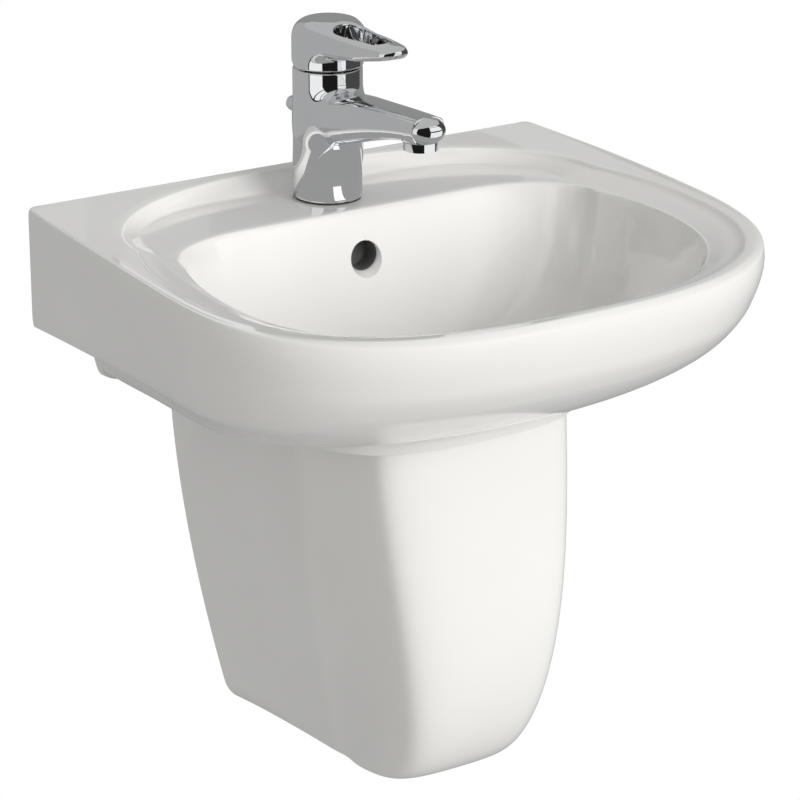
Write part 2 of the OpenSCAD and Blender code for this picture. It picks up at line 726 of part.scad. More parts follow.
// ---- Bottle trap -----------------------------------------------------------
module trap_inlet_nut() {
    color("silver") at_waste() translate([0, 0, trap_top + 2]) difference() {
        cylinder(r = 25, h = 14);
        translate([0, 0, -1]) cylinder(r = waste_tube_r + 0.1, h = 20);
        for (a = [0 : 30 : 330]) rotate(a) translate([26, 0, -1]) cylinder(r = 2, h = 20);
    }
}

module trap_inlet_seal() {
    color("black") at_waste() translate([0, 0, trap_top]) tube(20, waste_tube_r, 2);
}

module trap_body() {
    color("silver") at_waste() difference() {
        union() {
            rotate_extrude() polygon([[waste_tube_r + 0.1, trap_top], [21, trap_top],
                [21, trap_top - 14], [30, trap_top - 18], [30, bottle_bottom], [27.5, bottle_bottom],
                [27.5, trap_top - 20.5], [17.6, trap_top - 20.5], [17.6, bottle_bottom + 14],
                [waste_tube_r + 0.1, bottle_bottom + 14]]);
            translate([0, 28, outlet_dz]) rotate([-90, 0, 0]) cylinder(r = 20, h = 20);
        }
        translate([0, 19, outlet_dz]) rotate([-90, 0, 0]) cylinder(r = 13, h = 40);
        translate([0, 34, outlet_dz]) rotate([-90, 0, 0]) cylinder(r = waste_tube_r + 0.1, h = 40);
    }
}

module trap_cup() {
    color("silver") at_waste() rotate_extrude() polygon([[0, bottle_bottom - 18], [27, bottle_bottom - 18],
        [33, bottle_bottom - 12], [33, bottle_bottom + 12], [30.1, bottle_bottom + 12],
        [30.1, bottle_bottom - 2], [27, bottle_bottom - 2], [27, bottle_bottom - 12],
        [24, bottle_bottom - 15], [0, bottle_bottom - 15]]);
}

module trap_cup_seal() {
    color("black") at_waste() translate([0, 0, bottle_bottom - 2]) tube(30, 27.5, 2);
}

module outlet_nut() {
    color("silver") at_waste() translate([0, 50, outlet_dz]) rotate([-90, 0, 0]) difference() {
        cylinder(r = 24, h = 13);
        translate([0, 0, -1]) cylinder(r = waste_tube_r + 0.1, h = 20);
        for (a = [0 : 30 : 330]) rotate(a) translate([25, 0, -1]) cylinder(r = 2, h = 20);
    }
}

module outlet_seal() {
    color("black") at_waste() translate([0, 48, outlet_dz]) rotate([-90, 0, 0]) tube(19.5, waste_tube_r, 2);
}

// Plain pipe with a rolled bead where it enters the wall
module outlet_pipe() {
    color("silver") at_waste() translate([0, 36, outlet_dz]) rotate([-90, 0, 0]) {
        tube(waste_tube_r, waste_tube_r - 1.5, waste_y - 36 + outlet_past_wall);
        translate([0, 0, waste_y - 36 - 3]) tube(waste_tube_r + 0.8, waste_tube_r - 0.5, 3);
    }
}

module wall_rosette() {
    color("silver") translate([0, 0, outlet_z]) rotate([90, 0, 0]) rotate_extrude()
        polygon([[waste_tube_r + 0.1, 10], [waste_tube_r + 0.1, 11.2], [22, 11], [30, 6], [34, 0], [32.6, 0],
            [29, 5], [21.5, 9.8]]);
}

// ---- Wall fixings ----------------------------------------------------------
// Hanger bolt: a pointed screw in the wall and a slightly thinner machine
// thread in front of it
module hanger(r, in_wall, out) {
    translate([0, 0, -in_wall + 2 * r]) cylinder(r = r, h = in_wall - 2 * r);
    cylinder(r = r - 0.1, h = out);
    translate([0, 0, -in_wall]) cylinder(r1 = 0.8, r2 = r, h = 2 * r);
}

// Flanged plastic sleeve that keeps the bolt off the ceramic
module bush(r_out, r_in, wall, r_flange, t) {
    tube(r_out, r_in, wall);
    translate([0, 0, wall]) tube(r_flange, r_in, t);
}

module hanger_bolts() {
    color("silver") at_bolts(bolt_span / 2, 0) hanger(bolt_r, 60, back_wall + 26);
}
module bolt_bushes() {
    color("whitesmoke") at_bolts(bolt_span / 2, 0) bush(bolt_hole_r, bolt_r, back_wall, 11, 3);
}
module bolt_washers() {
    color("silver") at_bolts(bolt_span / 2, 0) translate([0, 0, back_wall + 3]) tube(10.5, bolt_r, 2);
}
module bolt_nuts() {
    color("silver") at_bolts(bolt_span / 2, 0) translate([0, 0, back_wall + 5]) hex_nut(17, bolt_r, 8);
}
module pedestal_bolts() {
    color("silver") at_bolts(lug_x, lug_z) hanger(lug_bolt_r, 45, lug_t + 16);
}
module pedestal_bushes() {
    color("whitesmoke") at_bolts(lug_x, lug_z) bush(lug_hole_r, lug_bolt_r, lug_t, 7, 2);
}
module pedestal_washers() {
    color("silver") at_bolts(lug_x, lug_z) translate([0, 0, lug_t + 2]) tube(6.8, lug_bolt_r, 1.6);
}
module pedestal_nuts() {
    color("silver") at_bolts(lug_x, lug_z) translate([0, 0, lug_t + 3.6]) hex_nut(10, lug_bolt_r, 5);
}

basin();
semi_pedestal();
mixer_body();
mixer_cartridge();
cartridge_nut();
stem_carrier();
stem_pin();
lever_stem();
lever();
lever_screw();
lever_plug();
aerator_housing();
aerator_insert();
aerator_seal();
base_gasket();
mounting_stud();
clamp_gasket();
clamp_washer();
mounting_nut();
hot_tail();
cold_tail();
lift_knob();
lift_rod();
rod_clamp();
clamp_screw();
ball_rod();
ball_nut();
ball_seat();
waste_flange();
flange_gasket();
waste_gasket();
waste_washer();
waste_nut();
waste_body();
plug();
plug_seal();
trap_inlet_nut();
trap_inlet_seal();
trap_body();
trap_cup();
trap_cup_seal();
outlet_nut();
outlet_seal();
outlet_pipe();
wall_rosette();
hanger_bolts();
bolt_bushes();
bolt_washers();
bolt_nuts();
pedestal_bolts();
pedestal_bushes();
pedestal_washers();
pedestal_nuts();
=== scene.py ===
"""Studio scene of the wall-hung washbasin: glazed basin and shell, chromed mixer and lever."""
import json
import math

import bmesh
import bpy
import numpy as np
import openvdb
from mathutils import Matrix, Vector


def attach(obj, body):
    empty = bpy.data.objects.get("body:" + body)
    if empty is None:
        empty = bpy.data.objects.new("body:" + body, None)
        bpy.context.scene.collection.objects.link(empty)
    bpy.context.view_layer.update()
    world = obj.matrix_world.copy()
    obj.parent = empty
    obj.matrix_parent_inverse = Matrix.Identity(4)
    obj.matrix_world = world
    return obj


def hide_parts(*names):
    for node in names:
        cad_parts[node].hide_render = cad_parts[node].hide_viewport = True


MM = 0.001
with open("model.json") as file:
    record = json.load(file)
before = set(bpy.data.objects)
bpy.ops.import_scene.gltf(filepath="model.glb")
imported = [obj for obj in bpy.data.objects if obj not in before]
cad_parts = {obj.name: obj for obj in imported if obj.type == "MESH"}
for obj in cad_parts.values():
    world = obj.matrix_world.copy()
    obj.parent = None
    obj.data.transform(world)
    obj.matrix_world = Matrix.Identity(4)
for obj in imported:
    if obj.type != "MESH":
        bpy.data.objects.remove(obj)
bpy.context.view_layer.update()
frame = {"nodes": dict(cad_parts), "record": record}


# ---- Materials --------------------------------------------------------------
def material(name, colour, metallic=0.0, roughness=0.3, coat=0.0):
    """A new material, its node tree and its shader."""
    m = bpy.data.materials.new(name)
    m.use_nodes = True
    b = m.node_tree.nodes["Principled BSDF"]
    b.inputs["Base Color"].default_value = (*colour, 1)
    b.inputs["Metallic"].default_value = metallic
    b.inputs["Roughness"].default_value = roughness
    b.inputs["IOR"].default_value = 1.5
    b.inputs["Coat Weight"].default_value = coat
    b.inputs["Coat Roughness"].default_value = 0.03
    return m, m.node_tree, b


def noise(tree, scale, detail, stretch=(1, 1, 1)):
    """Noise fixed to the object, finer along the axes with a larger stretch."""
    coords = tree.nodes.new("ShaderNodeTexCoord")
    place = tree.nodes.new("ShaderNodeMapping")
    place.inputs["Scale"].default_value = stretch
    n = tree.nodes.new("ShaderNodeTexNoise")
    n.inputs["Scale"].default_value = scale
    n.inputs["Detail"].default_value = detail
    tree.links.new(coords.outputs["Object"], place.inputs["Vector"])
    tree.links.new(place.outputs["Vector"], n.inputs["Vector"])
    return n.outputs["Fac"]


def vary_roughness(tree, shader, fac, low, high):
    """Maps the middle of the noise to a range of roughness."""
    r = tree.nodes.new("ShaderNodeMapRange")
    r.inputs["From Min"].default_value = 0.35
    r.inputs["From Max"].default_value = 0.65
    r.inputs["To Min"].default_value = low
    r.inputs["To Max"].default_value = high
    tree.links.new(fac, r.inputs["Value"])
    tree.links.new(r.outputs["Result"], shader.inputs["Roughness"])


def colour_ramp(tree, fac, start, dark, end, light):
    """A ramp between two colours at two positions."""
    ramp = tree.nodes.new("ShaderNodeValToRGB")
    for stop, position, colour in zip(ramp.color_ramp.elements, (start, end), (dark, light)):
        stop.position = position
        stop.color = (*colour, 1)
    tree.links.new(fac, ramp.inputs["Fac"])
    return ramp.outputs["Color"]


def tint(tree, shader, fac, dark, light):
    """Varies the base colour between two shades."""
    tree.links.new(colour_ramp(tree, fac, 0.3, dark, 0.7, light), shader.inputs["Base Color"])


def bump(tree, shader, fac, strength, distance):
    b = tree.nodes.new("ShaderNodeBump")
    b.inputs["Strength"].default_value = strength
    b.inputs["Distance"].default_value = distance
    tree.links.new(fac, b.inputs["Height"])
    tree.links.new(b.outputs["Normal"], shader.inputs["Normal"])


def glazed_ceramic():
    m, t, b = material("ceramic_glaze", (0.86, 0.855, 0.84), roughness=0.16, coat=0.6)
    tint(t, b, noise(t, 9, 2), (0.855, 0.85, 0.835), (0.875, 0.872, 0.86))
    vary_roughness(t, b, noise(t, 30, 4), 0.10, 0.17)
    bump(t, b, noise(t, 22, 2), 0.05, 0.0006)
    return m


def chrome():
    m, t, b = material("chrome_plate", (0.80, 0.81, 0.82), metallic=1.0)
    vary_roughness(t, b, noise(t, 160, 5), 0.025, 0.06)
    tint(t, b, noise(t, 20, 2), (0.80, 0.81, 0.825), (0.83, 0.835, 0.84))
    return m


def zinc():
    m, t, b = material("zinc_steel", (0.6, 0.61, 0.62), metallic=1.0)
    vary_roughness(t, b, noise(t, 420, 6, (1, 1, 6)), 0.24, 0.42)
    tint(t, b, noise(t, 120, 4), (0.52, 0.53, 0.55), (0.66, 0.66, 0.66))
    bump(t, b, noise(t, 600, 3, (1, 1, 8)), 0.2, 0.0002)
    return m


def brass():
    m, t, b = material("machined_brass", (0.78, 0.6, 0.3), metallic=1.0)
    vary_roughness(t, b, noise(t, 500, 5, (1, 1, 9)), 0.18, 0.34)
    tint(t, b, noise(t, 60, 4), (0.70, 0.52, 0.25), (0.82, 0.65, 0.34))
    bump(t, b, noise(t, 700, 2, (1, 1, 10)), 0.15, 0.0002)
    return m


def shade_painted_brass():
    # Brass darkened almost to black: painted shade for the ring, which shows only as a dark line
    m, t, b = material("shaded_brass", (0.1, 0.085, 0.06), metallic=1.0)
    vary_roughness(t, b, noise(t, 500, 5, (1, 1, 9)), 0.3, 0.5)
    tint(t, b, noise(t, 60, 4), (0.07, 0.06, 0.045), (0.13, 0.11, 0.08))
    return m


def copper():
    m, t, b = material("drawn_copper", (0.8, 0.45, 0.3), metallic=1.0)
    vary_roughness(t, b, noise(t, 300, 5, (8, 8, 1)), 0.16, 0.36)
    tint(t, b, noise(t, 45, 5), (0.62, 0.32, 0.2), (0.84, 0.5, 0.34))
    return m


def rubber():
    m, t, b = material("black_rubber", (0.03, 0.03, 0.03), roughness=0.7)
    tint(t, b, noise(t, 200, 4), (0.02, 0.02, 0.02), (0.045, 0.045, 0.045))
    bump(t, b, noise(t, 900, 3), 0.25, 0.0002)
    return m


def plastic(name, dark, light):
    m, t, b = material(name, light, roughness=0.4)
    tint(t, b, noise(t, 90, 3), dark, light)
    vary_roughness(t, b, noise(t, 500, 4), 0.32, 0.5)
    bump(t, b, noise(t, 1200, 2), 0.12, 0.0001)
    return m


MATERIALS = {
    "ceramic": glazed_ceramic(),
    # Near black inside the overflow: painted shade over the white glaze
    "duct": plastic("overflow_painted_shade", (0.10, 0.10, 0.095), (0.16, 0.16, 0.15)),
    "chrome": chrome(),
    "steel": zinc(),
    "brass": brass(),
    "shade_painted_brass": shade_painted_brass(),
    "copper": copper(),
    "rubber": rubber(),
    "white_plastic": plastic("white_plastic", (0.74, 0.74, 0.72), (0.84, 0.84, 0.82)),
    "grey_plastic": plastic("grey_plastic", (0.06, 0.062, 0.066), (0.1, 0.104, 0.11)),
}
GLAZE = MATERIALS["ceramic"]

# ---- Mesh helpers -----------------------------------------------------------
SHARP_DEG = 32.0


def shade(o, sharp_deg):
    """Smooth shading, with edges steeper than the angle kept sharp."""
    o.data.polygons.foreach_set("use_smooth", [True] * len(o.data.polygons))
    o.data.set_sharp_from_angle(angle=math.radians(sharp_deg))


def make_object(name, verts, faces, mat, sharp_deg=SHARP_DEG):
    me = bpy.data.meshes.new(name)
    me.from_pydata([tuple(v) for v in verts], [], [tuple(f) for f in faces])
    me.materials.append(mat)
    o = bpy.data.objects.new(name, me)
    shade(o, sharp_deg)
    bpy.context.scene.collection.objects.link(o)
    return o


def skin(name, rings, mat):
    """A closed solid over rings of equal length, each end closed by a fan."""
    n = len(rings[0])
    last = (len(rings) - 1) * n
    first_centre, last_centre = last + n, last + n + 1
    verts = np.concatenate([*rings, [rings[0].mean(0)], [rings[-1].mean(0)]])
    faces = []
    for k in range(0, last, n):
        for j in range(n):
            a, b = k + j, k + (j + 1) % n
            faces.append((a, b, b + n, a + n))
    faces += [(j, first_centre, (j + 1) % n) for j in range(n)]
    faces += [(last + (j + 1) % n, last_centre, last + j) for j in range(n)]
    o = make_object(name, verts, faces, mat)
    fix_normals(o)
    return o


def fix_normals(o):
    bm = bmesh.new()
    bm.from_mesh(o.data)
    bmesh.ops.recalc_face_normals(bm, faces=bm.faces)
    bm.to_mesh(o.data)
    bm.free()


def combine(o, other, mode="DIFFERENCE"):
    """Cuts the other object out of o, or joins it to o, and removes the other one."""
    m = o.modifiers.new("combine", "BOOLEAN")
    m.operation, m.solver, m.object = mode, "EXACT", other
    bpy.context.view_layer.update()
    deps = bpy.context.evaluated_depsgraph_get()
    result = bpy.data.meshes.new_from_object(o.evaluated_get(deps))
    o.modifiers.clear()
    old, o.data = o.data, result
    bpy.data.meshes.remove(old)
    used = other.data
    bpy.data.objects.remove(other)
    bpy.data.meshes.remove(used)


def turned(name, profile, origin, axis, steps=96):
    """A solid of revolution from (radius, height) pairs in mm along an axis."""
    along = Vector(axis).normalized()
    side = along.orthogonal().normalized()
    along, side, up = (np.array(v) for v in (along, side, along.cross(side)))
    angles = np.arange(steps) * 2 * math.pi / steps
    circle = np.array([math.cos(t) * side + math.sin(t) * up for t in angles])
    rings = [(np.array(origin) + along * h + r * circle) * MM for r, h in profile]
    return skin(name, rings, GLAZE)


def prism(name, plan, z0, z1):
    rings = [np.array([(x, y, z) for x, y in plan]) * MM for z in (z0, z1)]
    return skin(name, rings, GLAZE)


# ---- Basin ------------------------------------------------------------------
# Heights in the tables below are counted from the back rim, depths from the wall
RIM_Z = 95.0
TAP_Y = 55.0
DECK = -13.0
FLOOR = -128.0
UNDER = -149.0
WASTE_Y = 185.0
HALF_W, WALL_W, FRONT, WIDE = 226.0, 219.0, -380.0, -195.0
OVERFLOW_Z, OVERFLOW_R = -46, 11.25
BOLT_X = 140


def outline(hb, yb, rx, ry, hw, ym, yf, n):
    """Right half of a plan outline: back, corner, bowed side and superelliptical front."""
    pts = [((hb - rx) * i / 14, yb) for i in range(14)]
    for i in range(12):
        a = math.pi / 2 * i / 12
        pts.append((hb - rx + rx * math.sin(a), yb - ry + ry * math.cos(a)))
    for i in range(20):
        s = i / 20
        pts.append((hw - (hw - hb) * (1 - s) ** 2, (yb - ry) * (1 - s) + ym * s))
    for i in range(61):
        a = math.pi / 2 * i / 60
        pts.append((hw * max(math.cos(a), 0.0) ** (2 / n), ym - (ym - yf) * math.sin(a) ** (2 / n)))
    return pts


def ring(row):
    """A whole ring from one row: its outline, then its heights at back and front and their curve."""
    *plan, zb, zf, power = row
    half = outline(*plan)
    o = np.array(half + [(-x, y) for x, y in half[-2:0:-1]])
    y0, y1 = o[:, 1].max(), o[:, 1].min()
    z = zb + (zf - zb) * ((y0 - o[:, 1]) / (y0 - y1)) ** power
    return np.column_stack([o, z + RIM_Z]) * MM


def steady_slopes(t, v):
    """Slopes of a monotone cubic through the values, column by column."""
    h, d = np.diff(t)[:, None], np.diff(v, axis=0) / np.diff(t)[:, None]
    m = np.zeros_like(v)
    same = d[:-1] * d[1:] > 0
    w1, w2 = 2 * h[1:] + h[:-1], h[1:] + 2 * h[:-1]
    with np.errstate(divide="ignore", invalid="ignore"):
        mean = (w1 + w2) / (w1 / d[:-1] + w2 / d[1:])
    m[1:-1] = np.where(same, mean, 0.0)
    m[0], m[-1] = d[0], d[-1]
    return m


def smooth_rings(rows, steps):
    """Rings between the rows, which pass from row to row without a kink."""
    v = np.array(rows, float)
    rough = [ring(row) for row in v]
    gap = [np.linalg.norm(a - b, axis=1).mean() for a, b in zip(rough, rough[1:])]
    t = np.concatenate([[0], np.cumsum(gap)])
    m = steady_slopes(t, v)
    out = []
    for k in range(len(v) - 1):
        h = t[k + 1] - t[k]
        for i in range(steps):
            s = i / steps
            h00, h10 = 2 * s**3 - 3 * s**2 + 1, s**3 - 2 * s**2 + s
            h01, h11 = -2 * s**3 + 3 * s**2, s**3 - s**2
            out.append(ring(h00 * v[k] + h10 * h * m[k] + h01 * v[k + 1] + h11 * h * m[k + 1]))
    out.append(rough[-1])
    return out


def rim(y):
    """Height of the rim's crest, which falls a little towards the front."""
    return 0.04 * y


def seam(y):
    """Height of the collar's lower edge, where the shell begins."""
    return -149.4 + 12.0 * y / -265.0


BOWL = [
    (24, -159, 23, 22, 26, -WASTE_Y, -213, 2, FLOOR, FLOOR, 1),
    (52, -147, 45, 34, 56, -188, -238, 2.1, FLOOR + 2, FLOOR + 2, 1),
    (88, -136, 64, 44, 94, -195, -266, 2.2, FLOOR + 9, FLOOR + 9, 1),
    (118, -126, 75, 50, 126, -202, -294, 2.25, FLOOR + 22, FLOOR + 22, 1),
    (140, -118, 80, 52, 149, -206, -318, 2.3, FLOOR + 41, FLOOR + 40, 1),
    (156, -110, 80, 54, 165, -210, -334, 2.35, FLOOR + 66, FLOOR + 62, 1),
    (166, -103, 78, 54, 175, -213, -344, 2.4, FLOOR + 92, FLOOR + 84, 1),
    (172, -98, 76, 54, 182, -215, -350, 2.4, DECK - 7, -34, 2),
    (174, -94, 75, 54, 186, -215, -352, 2.4, DECK, -26, 2),
    (173, -27, 88, 75, 189, -215, -353, 2.45, DECK, -23, 2),
    (180, -20, 110, 84, 199, -213, -358, 2.5, DECK + 3, -19, 1.5),
    (192, -11, 150, 102, 210, -208, -366, 2.55, -4, rim(-366) - 2.5, 1),
    (197, -8, 162, 110, 214, -204, -369, 2.6, -1, rim(-369) - 0.4, 1),
]
UNDERSIDE = [
    (WALL_W - 2.5, -0.4, 5, 5, HALF_W - 5, WIDE, FRONT + 6, 2.7, 0, rim(FRONT), 1),
    (WALL_W - 0.5, 0, 5, 5, HALF_W - 1, WIDE, FRONT + 1, 2.75, -2, -20, 2),
    (WALL_W, 0, 5, 5, HALF_W, WIDE, FRONT, 2.75, -8, -27, 1),
    (WALL_W, 0, 5, 5, HALF_W - 4, WIDE, FRONT + 6, 2.65, -46, -54, 1),
    (WALL_W, 0, 5, 5, HALF_W - 9, WIDE, FRONT + 18, 2.5, -78, -73, 1),
    (WALL_W - 1, 0, 5, 5, HALF_W - 14, WIDE, FRONT + 34, 2.4, -88, -88, 1),
    (178, 0, 7, 7, 200, WIDE, FRONT + 54, 2.3, -92, -102, 1),
    (171, 0, 6, 6, 183, -185, FRONT + 76, 2.2, -120, -113, 1),
    (166, 0, 6, 6, 162, -175, FRONT + 96, 2.2, -134, -120, 1),
    (140, 0, 20, 20, 136, -165, FRONT + 108, 2.4, -141, -125, 1),
    (114, 0, 6, 6, 114, -150, -268, 3, -146, -128, 1),
    (111, 0, 6, 6, 111, -150, -265, 3, seam(0), seam(-265), 1),
]
FOOT = [
    (88, -12, 6, 6, 84, -150, -244, 2.4, seam(-12), seam(-244), 1),
    (60, -120, 45, 34, 62, -188, -236, 2.2, UNDER, UNDER, 1),
]


def pocket_cutters():
    """Open space under the tap deck: a rounded upper part, and three bays round the collar's sides."""
    r, w, y0, y1 = 6, 158, -14, -82
    split = RIM_Z - 125
    corners = [(w - r, y1 + r, -90), (w - r, y0 - r, 0), (-w + r, y0 - r, 90), (-w + r, y1 + r, 180)]
    plan = [(cx + r * math.cos(math.radians(a + 9 * i)), cy + r * math.sin(math.radians(a + 9 * i)))
            for cx, cy, a in corners for i in range(11)]
    cutters = [prism("pocket", plan, split, RIM_Z + DECK - 14)]
    for x0, x1 in ((-101.5, 101.5), (110.5, 170), (-170, -110.5)):
        bay = [(x0, y1), (x1, y1), (x1, y0), (x0, y0)]
        cutters.append(prism("pocket_low", bay, RIM_Z - 170, split + 0.2))
    return cutters


def hole_cutters():
    """Tap hole, waste hole with its recess, overflow with a flared mouth, and bolt holes."""
    recess = FLOOR - 4.5
    waste = [(23, UNDER - 2), (23, recess), (32.5, recess), (32.5, FLOOR + 6)]
    mouth = [(OVERFLOW_R, 0), (OVERFLOW_R, 15), (12.0, 17), (13.6, 20), (30, 50)]
    cutters = [turned("tap_hole", [(17.5, -20), (17.5, 5)], (0, -TAP_Y, RIM_Z + DECK), (0, 0, 1)),
               turned("waste_hole", waste, (0, -WASTE_Y, RIM_Z), (0, 0, 1)),
               turned("overflow", mouth, (0, -87, RIM_Z + OVERFLOW_Z), (0, -1, 0))]
    for x in (-BOLT_X, BOLT_X):
        cutters.append(turned("bolt_hole", [(8, -2), (8, 16)], (x, 0, 0), (0, -1, 0), 48))
    return cutters


def shade_overflow(o):
    """Gives the overflow's wall and back a dark material as painted shade, from behind the flared
    mouth.
    """
    o.data.materials.append(MATERIALS["duct"])
    middle = Vector((0, -95, RIM_Z + OVERFLOW_Z)) * MM
    for p in o.data.polygons:
        d = (p.center - middle) / MM
        radius = math.hypot(d.x, d.z)
        wall = -10.2 < d.y < 9 and radius < 11.4 and abs(p.normal.x) + abs(p.normal.z) > 0.5
        back = abs(d.y - 8) < 0.5 and radius < 11.2
        if wall or back:
            p.material_index = 1


def build_basin():
    rings = smooth_rings(BOWL + UNDERSIDE, 6) + [ring(row) for row in FOOT]
    o = skin("basin_glazed", rings, GLAZE)
    for cutter in pocket_cutters() + hole_cutters():
        combine(o, cutter)
    shade_overflow(o)
    shade(o, SHARP_DEG)
    return o


# ---- Semi-pedestal ----------------------------------------------------------
PED_W, PED_H, PED_D, PED_WALL = 106.0, 275.0, 262.0, 10.0
LUG_X, LUG_Z, LUG_HALF = 58, -240, 16


def bezier(a, b, c, d, t):
    a, b, c, d = (np.array(p, float) for p in (a, b, c, d))
    t = np.asarray(t)[:, None]
    return (1 - t)**3 * a + 3 * t * (1 - t)**2 * b + 3 * t * t * (1 - t) * c + t**3 * d


def shell_outline(u, w):
    """Plan of the shell at the fraction u of its height, kept w inside its outer surface."""
    foot = 0 if u < 0.93 else 1 - math.sqrt(max(1 - ((u - 0.93) / 0.07)**2, 0))
    hw = PED_W - 47 * u**1.6 - 13 * foot - w
    crease1 = np.array([100 - 50 * u**1.7 - w, -172 + 30 * u**2])
    left = (1 - u**6)**(1 / 2.2)
    nose = 200 + (PED_D - 200) * left + 13 * math.sin(math.pi * u**1.2)
    crease2 = np.array([82 - 33 * u**1.6 - w, -nose + 22 + w / 2])
    front = np.array([0, -nose + w])
    s = np.arange(40) / 40
    panel = np.column_stack([crease1[0] + (hw - crease1[0]) * (1 - s)**2, crease1[1] * s])
    flute = bezier(crease1, crease1 + [-5, -18], crease2 + [6, 24], crease2, np.arange(24) / 24)
    round_ = bezier(crease2, crease2 + [-1, -19], front + [38, 0], front, np.arange(49) / 48)
    right = np.concatenate([panel, flute, round_])
    left_half = right[-2::-1] * [-1, 1]
    return np.concatenate([right, left_half])


def soften(path, sigma):
    """Rounds the kinks of an open path, keeping its two ends."""
    d = np.concatenate([[0], np.cumsum(np.linalg.norm(np.diff(path, axis=0), axis=1))])
    n = 220
    t = np.linspace(0, d[-1], n)
    p = np.column_stack([np.interp(t, d, path[:, k]) for k in range(2)])
    width = max(1, int(3 * sigma / (d[-1] / n)))
    kernel = np.exp(-0.5 * (np.arange(-width, width + 1) * d[-1] / n / sigma)**2)
    kernel /= kernel.sum()
    pad = np.concatenate([2 * p[0] - p[width:0:-1], p, 2 * p[-1] - p[-2:-width - 2:-1]])
    return np.column_stack([np.convolve(pad[:, k], kernel, "valid") for k in range(2)])


def shell_ring(u, w):
    """Ring of the shell's outline, closed along the wall, at its sloping height."""
    front = soften(shell_outline(u, w), 5.0)
    back = np.column_stack([np.linspace(front[-1, 0], front[0, 0], 16)[1:-1], np.zeros(14)])
    o = np.concatenate([front, back])
    f = -o[:, 1] / PED_D
    z = -150 + 12 * f * (1 - u) - (PED_H - 13 * f - 14 * f * (1 - f)) * u
    return np.column_stack([o, z + RIM_Z]) * MM


def build_shell():
    foot = 0.9 + 0.0975 * np.sin(np.linspace(0.06, 1, 26) * math.pi / 2)
    levels = np.concatenate([np.linspace(0, 0.9, 46), foot])
    o = skin("shell_glazed", [shell_ring(u, 0) for u in levels], GLAZE)
    inner = [shell_ring(u, PED_WALL) + np.array([0, 1, PED_WALL]) * MM for u in levels[::2]]
    combine(o, skin("shell_inside", inner, GLAZE))
    for x in (-LUG_X, LUG_X):
        x0, x1 = x - LUG_HALF, x + LUG_HALF
        plan = [(x0, -16), (x1, -16), (x1, 0), (x0, 0)]
        combine(o, prism("lug", plan, LUG_Z - LUG_HALF, LUG_Z + LUG_HALF), mode="UNION")
        combine(o, turned("lug_hole", [(4, -2), (4, 20)], (x, 0, LUG_Z), (0, -1, 0), 32))
    shade(o, SHARP_DEG)
    return o


# ---- Shapes from distance fields ---------------------------------------------
# Fields are in mm round the mixer's axis, with their zero height on the deck
VOXEL = 0.6


def blend_min(a, b, k):
    """The nearer of two surfaces, with a fillet about k wide between them."""
    h = np.clip(0.5 + 0.5 * (b - a) / k, 0, 1)
    return b + (a - b) * h - k * h * (1 - h)


def blend_max(a, b, k):
    return -blend_min(-a, -b, k)


def field_mesh(name, lo, hi, field):
    """Meshes the zero surface of a field, and puts the points and their normals right on it."""
    h = VOXEL
    axes = [np.arange(a, b + h, h) for a, b in zip(lo, hi)]
    x, y, z = np.meshgrid(*axes, indexing="ij", sparse=True)
    f = np.broadcast_to(field(x, y, z), [len(a) for a in axes])
    grid = openvdb.FloatGrid()
    grid.background = 3 * h
    grid.copyFromArray(np.ascontiguousarray(np.clip(f, -3 * h, 3 * h), dtype=np.float32), tolerance=0)
    pts, quads = grid.convertToQuads()
    p = np.asarray(pts, float) * h + np.array([a[0] for a in axes])

    def gradient(q):
        e = 0.08
        g = [(field(*(q + e * d).T) - field(*(q - e * d).T)) / (2 * e) for d in np.eye(3)]
        return np.column_stack(g)

    for _ in range(4):
        g = gradient(p)
        step = field(*p.T) / np.maximum((g * g).sum(1), 0.2)
        step = np.clip(step, -0.4 * h, 0.4 * h)
        p = p - step[:, None] * g
    g = gradient(p)
    normals = g / np.maximum(np.linalg.norm(g, axis=1), 1e-9)[:, None]
    quads = np.asarray(quads)
    a, b, c = p[quads[:, 0]], p[quads[:, 1]], p[quads[:, 2]]
    if (np.cross(b - a, c - a) * normals[quads[:, 0]]).sum() < 0:
        quads = quads[:, ::-1]
    world = (p + np.array([0, -TAP_Y, RIM_Z + DECK])) * MM
    o = make_object(name, world, quads, MATERIALS["chrome"], 180)
    o.data.normals_split_custom_set_from_vertices(normals)
    return o


def cylinder_field(x, y, r):
    return np.sqrt(x * x + y * y) - r


def eased(t, ts, values):
    """Values along the spout or the lever, eased so that their slopes don't jump."""
    return sum(np.interp(t + d, ts, values) for d in (-6, -3, 0, 3, 6)) / 5


# Spout: its top, its underside and its half width at distances from the axis
SPOUT_Y = [-15, 0, 30, 45, 60, 80, 100, 125, 145]
SPOUT_TOP = [76, 78, 83, 84.6, 85.4, 86.6, 87.6, 88.6, 89]
SPOUT_LOW = [44, 44, 47, 50, 54.5, 60.5, 65.5, 69.5, 71]
SPOUT_W = [16, 19, 21.2, 20, 18.4, 16.3, 15, 13.6, 13.2]
# Edge where the body's broad skin ends and its narrower core begins, from the nose to the back
CREASE_Y = [-132, -118, -96, -76, -50, -26, -23, -16.5, -9.5, -2, 12, 15, 30]
CREASE_Z = [64, 70, 66.5, 62.5, 56, 48.3, 44.8, 35.2, 25, 14, -0.4, -3, -20]
BODY_R, CORE_R, BODY_TOP, OUTLET_Y = 25.5, 24.8, 98, 122


def spout_field(x, y, z):
    t = -y
    top, low, w = (eased(t, SPOUT_Y, v) for v in (SPOUT_TOP, SPOUT_LOW, SPOUT_W))
    c, hh = (top + low) / 2, (top - low) / 2
    n = 3.0
    g = ((np.abs(x) / w)**n + (np.abs(z - c) / hh)**n)**(1 / n) - 1
    side = g * np.minimum(w, hh)
    side = np.maximum(side, t - 131)
    ball = (np.sqrt((x / 13.2)**2 + ((t - 129) / 14.0)**2 + ((z - 79.2) / 9.4)**2) - 1) * 10
    ball = np.maximum(ball, 120 - t)
    return np.maximum(np.minimum(side, ball), -t - 14)


